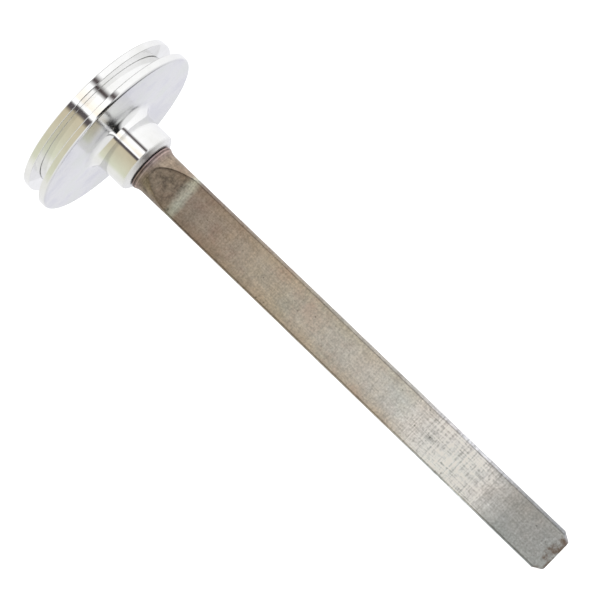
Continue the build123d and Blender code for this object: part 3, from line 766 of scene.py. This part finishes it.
def flatDistance(z):
    # from the axis to the flat: constant below the crease, rising in a straight ramp above it
    slope = (collarRadius - stem["rampBite"] - halfFlat) / (collarEndZ - stem["creaseZ"])
    return halfFlat + np.maximum(z - stem["creaseZ"], 0) * slope


def softMin(a, b, width):
    # the smaller of two lengths, eased where they are nearly equal
    gap = np.maximum(width - np.abs(a - b), 0)
    return np.minimum(a, b) - gap ** 2 / (4 * width)


def sectionAngles(edgeAngle):
    # Angles round a section for each row. A quarter has side columns up to the flat's edge, close
    # columns across the edge and then columns over the flat; the other quarters mirror it.
    spread = np.radians(stem["edgeSpread"])
    low, high = edgeAngle - spread, edgeAngle + spread
    low, high = low[:, None], high[:, None]
    side = np.linspace(0, 1, stem["sideColumns"], endpoint=False) * low
    across = low + np.linspace(0, 1, stem["edgeColumns"], endpoint=False) * (high - low)
    flat = high + np.linspace(0, 1, stem["flatColumns"] + 1) * (pi / 2 - high)
    quarter = np.hstack([side, across, flat])
    second = pi - quarter[:, ::-1][:, 1:]
    half = np.hstack([quarter, second])
    return np.hstack([half, pi + half[:, 1:-1]])


def barSection(z, radius, flat):
    # points of the section at each z: a circle of that radius, cut by flats at that distance along Y
    edgeAngle = np.minimum(np.arcsin(np.clip(flat / radius, 0, 1)), radians(stem["steepest"]))
    t = sectionAngles(edgeAngle)
    reach = flat[:, None] / np.maximum(np.abs(np.sin(t)), 1e-6)
    r = softMin(radius[:, None] + 0 * t, reach, stem["edge"])
    return np.stack([r * np.cos(t), r * np.sin(t), z[:, None] + 0 * t], -1)


def roundRows(z, radius, like):
    # plain round rows that share their columns with the bar's first or last row
    t = np.arctan2(like[:, 1], like[:, 0])
    z, radius = np.atleast_1d(z)[:, None], np.atleast_1d(radius)[:, None]
    return np.stack([radius * np.cos(t), radius * np.sin(t), z + 0 * t], -1)


def waviness(grid, seed=stem["rippleSeed"], height=stem["ripple"]):
    # slow unevenness of a hand-finished bar: a few low sine waves along it, pushed out along the radius
    rng = np.random.default_rng(seed)
    z = grid[..., 2]
    t = np.arctan2(grid[..., 1], grid[..., 0])
    push = np.zeros_like(z)
    for wave in rng.uniform(*stem["waveLengths"], stem["waves"]):
        alongPart = np.sin(2 * pi * z / wave + rng.uniform(0, 6))
        push += alongPart * np.cos(t * rng.integers(1, 3) + rng.uniform(0, 6))
    scale = 1 + height * push[..., None] / 3 / np.linalg.norm(grid[..., :2], axis=-1)[..., None]
    grid = grid.copy()
    grid[..., :2] *= scale
    return grid


crease, soft = stem["creaseZ"], stem["creaseSoft"]
barZ = np.concatenate([
    np.linspace(collarEndZ, filletEndZ, stem["filletRows"]),
    np.arange(filletEndZ - stem["rampStep"], crease + stem["creaseGap"], -stem["rampStep"]),
    np.linspace(crease + stem["creaseHalf"], crease - stem["creaseHalf"], stem["creaseRows"]),
    np.arange(crease - stem["rowStep"], plugZ + stem["rowStep"], -stem["rowStep"]),
    [plugZ + stem["rowStep"] / 2, plugZ + stem["endSupport"], plugZ],
])
barFlat = (flatDistance(barZ + soft) + flatDistance(barZ) + flatDistance(barZ - soft)) / 3
bar = waviness(barSection(barZ, outerRadius(barZ), barFlat))

# above the bar, from the thread's top: thread, shank, and the collar with a rounded edge above and below
edgeR, shank, threadTop = stem["collarEdge"], stem["shankRadius"], stemHigh[2]
footLength, footStep = stem["shankFoot"]
collarArc = np.linspace(0, pi / 2, stem["arcRows"])
upperRows = roundRows(
    np.concatenate([
        [threadTop, threadTop - stem["threadChamfer"], floorLevel],
        [floorLevel, collarTopZ + footLength, collarTopZ],
        collarTopZ - edgeR + edgeR * np.cos(collarArc),
        np.linspace(collarTopZ - edgeR - stem["collarSupport"], collarEndZ + edgeR, stem["collarRows"]),
        collarEndZ + edgeR - edgeR * np.sin(collarArc[1:]) * stem["collarDrop"],
    ]),
    np.concatenate([
        [stem["threadRadius"] - stem["threadChamfer"], stem["threadRadius"], stem["threadRadius"]],
        [shank, shank, shank + footStep],
        collarRadius - edgeR + edgeR * np.sin(collarArc),
        np.full(stem["collarRows"], collarRadius),
        collarRadius - edgeR * (1 - np.cos(collarArc[1:])) * stem["collarTuck"],
    ]),
    bar[0],
)
lead = stem["boreLead"]
innerRows = roundRows([plugZ, plugZ + lead, threadTop - lead, threadTop], [stem["bore"]] * 4, bar[-1])
stemGrid = np.concatenate([upperRows, bar, innerRows])
finishPiece(gridPiece("stemBar", stemGrid, True), steel, "case", "stem_steel", "stem_tube")

# Tip: a chamfer turned round the end, with worn edges. Rows close up towards the end.
tip = dict(endRadius=4.6, wearLength=0.3, wearDepth=0.12, firstRow=0.2, rows=12,
           lastRows=(0.2, 0.1, 0.03, 0.0),
           endRings=(0.97, 0.8, 0.5, 0.2), spigotLead=0.1, spigotChamfer=0.15)
chamferZ = np.concatenate([
    [plugZ, plugZ - stem["endSupport"]],
    np.linspace(plugZ - tip["firstRow"], tipZ + tip["wearLength"], tip["rows"]),
    tipZ + np.array(tip["lastRows"]),
])
chamferR = stem["radius"] - (plugZ - chamferZ) / (plugZ - tipZ) * (stem["radius"] - tip["endRadius"])
worn = np.clip(1 - (chamferZ - tipZ) / tip["wearLength"], 0, 1) ** 2 * tip["wearDepth"]
tipRows = waviness(barSection(chamferZ, chamferR - worn, halfFlat - worn))
endRows = np.stack([tipRows[-1] * [share, share, 1] for share in tip["endRings"]])
spigotRows = roundRows([plugHigh[2], plugHigh[2] - tip["spigotLead"], plugZ],
                       [stem["bore"] - tip["spigotChamfer"], stem["bore"], stem["bore"]], tipRows[0])
tipGrid = np.concatenate([spigotRows, tipRows, endRows])
finishPiece(gridPiece("stemTip", tipGrid, False), steel, "case", "stem_steel", "stem_tip_plug")

# Seal: a squeezed rubber ring between hub and collar, round where it bulges out
seal = dict(fit=0.01, innerRound=0.03, outerRound=0.13, segments=128)
sealInner = stem["shankRadius"] + seal["fit"]
sealProfile = roundCorners([
    (sealInner, sealLow[2], seal["innerRound"]),
    (sealHigh[0], sealLow[2], seal["outerRound"]),
    (sealHigh[0], sealHigh[2], seal["outerRound"]),
    (sealInner, sealHigh[2], seal["innerRound"]),
], steps=6)
finishPiece(lathe("sealRing", sealProfile, seal["segments"]), rubber, "case", "black_rubber", "neck_seal")
print("stage: stem")


# Scale in degrees Fahrenheit. The middle of the scale is at the top, and it reads clockwise.
dial = dict(low=20, high=120, sweep=300.0, minorStep=2, majorStep=10, numberStep=20, outer=19.0,
            minorLength=1.5, majorLength=2.6, minorWidth=0.16, majorWidth=0.32, inkHeight=0.03,
            numberRadius=13.8, numberSize=2.6, unitSize=3.0, unitY=-8.2, markValue=68, markLength=3.4,
            markWidth=0.5)
faceZ = boxMm("dial_plate")[1][2]


def scaleAngle(value):
    # degrees anticlockwise from +X
    middle = (dial["low"] + dial["high"]) / 2
    return 90 - (value - middle) * dial["sweep"] / (dial["high"] - dial["low"])


def bars(name, angles, inner, outer, widths):
    # thin boxes that point at the centre: each is eight corners turned by its own angle
    corner = np.array([(x, y, z) for x in (0, 1) for y in (-0.5, 0.5) for z in (0, 1)], float)
    t = np.radians(angles)[:, None]
    x = inner[:, None] + corner[:, 0] * (outer - inner)[:, None]
    y = corner[:, 1] * widths[:, None]
    z = faceZ + (corner[:, 2] * dial["inkHeight"])[None, :] + 0 * x
    points = np.stack([x * np.cos(t) - y * np.sin(t), x * np.sin(t) + y * np.cos(t), z], -1)
    sides = np.array([(0, 1, 3, 2), (4, 6, 7, 5), (0, 4, 5, 1), (2, 3, 7, 6), (0, 2, 6, 4), (1, 5, 7, 3)])
    faces = (np.arange(len(angles))[:, None, None] * 8 + sides).reshape(-1, 4)
    mesh = bpy.data.meshes.new(name)
    mesh.from_pydata((points.reshape(-1, 3) * mm).tolist(), [], faces.tolist())
    mesh.update()
    piece = bpy.data.objects.new(name, mesh)
    bpy.context.scene.collection.objects.link(piece)
    return piece


values = np.arange(dial["low"], dial["high"] + 1, dial["minorStep"])
major = values % dial["majorStep"] == 0
outer = np.full(len(values), dial["outer"])
lengths = np.where(major, dial["majorLength"], dial["minorLength"])
widths = np.where(major, dial["majorWidth"], dial["minorWidth"])
ticks = bars("dialTicks", scaleAngle(values), outer - lengths, outer, widths)
finishPiece(ticks, blackInk, "case", "pointer_paint")


def printText(text, size, centre):
    # text as a thin mesh, centred, already in place
    curve = bpy.data.curves.new("text", "FONT")
    curve.body = text
    curve.size = size * mm
    curve.extrude = dial["inkHeight"] / 2 * mm
    curve.align_x, curve.align_y = "CENTER", "CENTER"
    holder = bpy.data.objects.new("text", curve)
    bpy.context.scene.collection.objects.link(holder)
    bpy.context.view_layer.update()
    mesh = bpy.data.meshes.new_from_object(holder.evaluated_get(bpy.context.evaluated_depsgraph_get()))
    bpy.data.objects.remove(holder)
    mesh.transform(Matrix.Translation(Vector((*centre, faceZ + dial["inkHeight"] / 2)) * mm))
    return mesh


def joinMeshes(name, meshes):
    points, faces = [], []
    for mesh in meshes:
        start = len(points)
        points += [tuple(v.co) for v in mesh.vertices]
        faces += [[start + i for i in face.vertices] for face in mesh.polygons]
        bpy.data.meshes.remove(mesh)
    joined = bpy.data.meshes.new(name)
    joined.from_pydata(points, [], faces)
    joined.update()
    piece = bpy.data.objects.new(name, joined)
    bpy.context.scene.collection.objects.link(piece)
    return piece


numbers = []
for value in range(dial["low"], dial["high"] + 1, dial["numberStep"]):
    t = radians(scaleAngle(value))
    centre = (dial["numberRadius"] * cos(t), dial["numberRadius"] * sin(t))
    numbers.append(printText(str(value), dial["numberSize"], centre))
numbers.append(printText("°F", dial["unitSize"], (0, dial["unitY"])))
finishPiece(joinMeshes("dialNumbers", numbers), blackInk, "case", "pointer_paint")

# Red mark at the usual working temperature
markEnd = np.array([dial["outer"]])
mark = bars("dialMark", np.array([scaleAngle(dial["markValue"])]), markEnd - dial["markLength"], markEnd,
            np.array([dial["markWidth"]]))
finishPiece(mark, redInk, "case", "dial_paint")
print("stage: dial")


# CAD nodes that keep their shape, each with its material
kept = {
    "crystal_gasket": rubber, "dial_plate": enamel, "dial_posts": brass, "dial_screws": brightSteel,
    "lock_washer": brightSteel, "stem_nut": brass, "upper_bush": brass, "middle_bush": brass,
    "lower_bush": brass, "bimetal_coil": bimetal, "coil_anchor": brass, "coil_collar": brass,
    "pointer_shaft": brightSteel, "pointer_boss": brass, "pointer": pointerPaint,
}
for name, material in kept.items():
    node = nodes[name]
    node.data.materials.clear()
    node.data.materials.append(material)
print("stage: kept nodes")
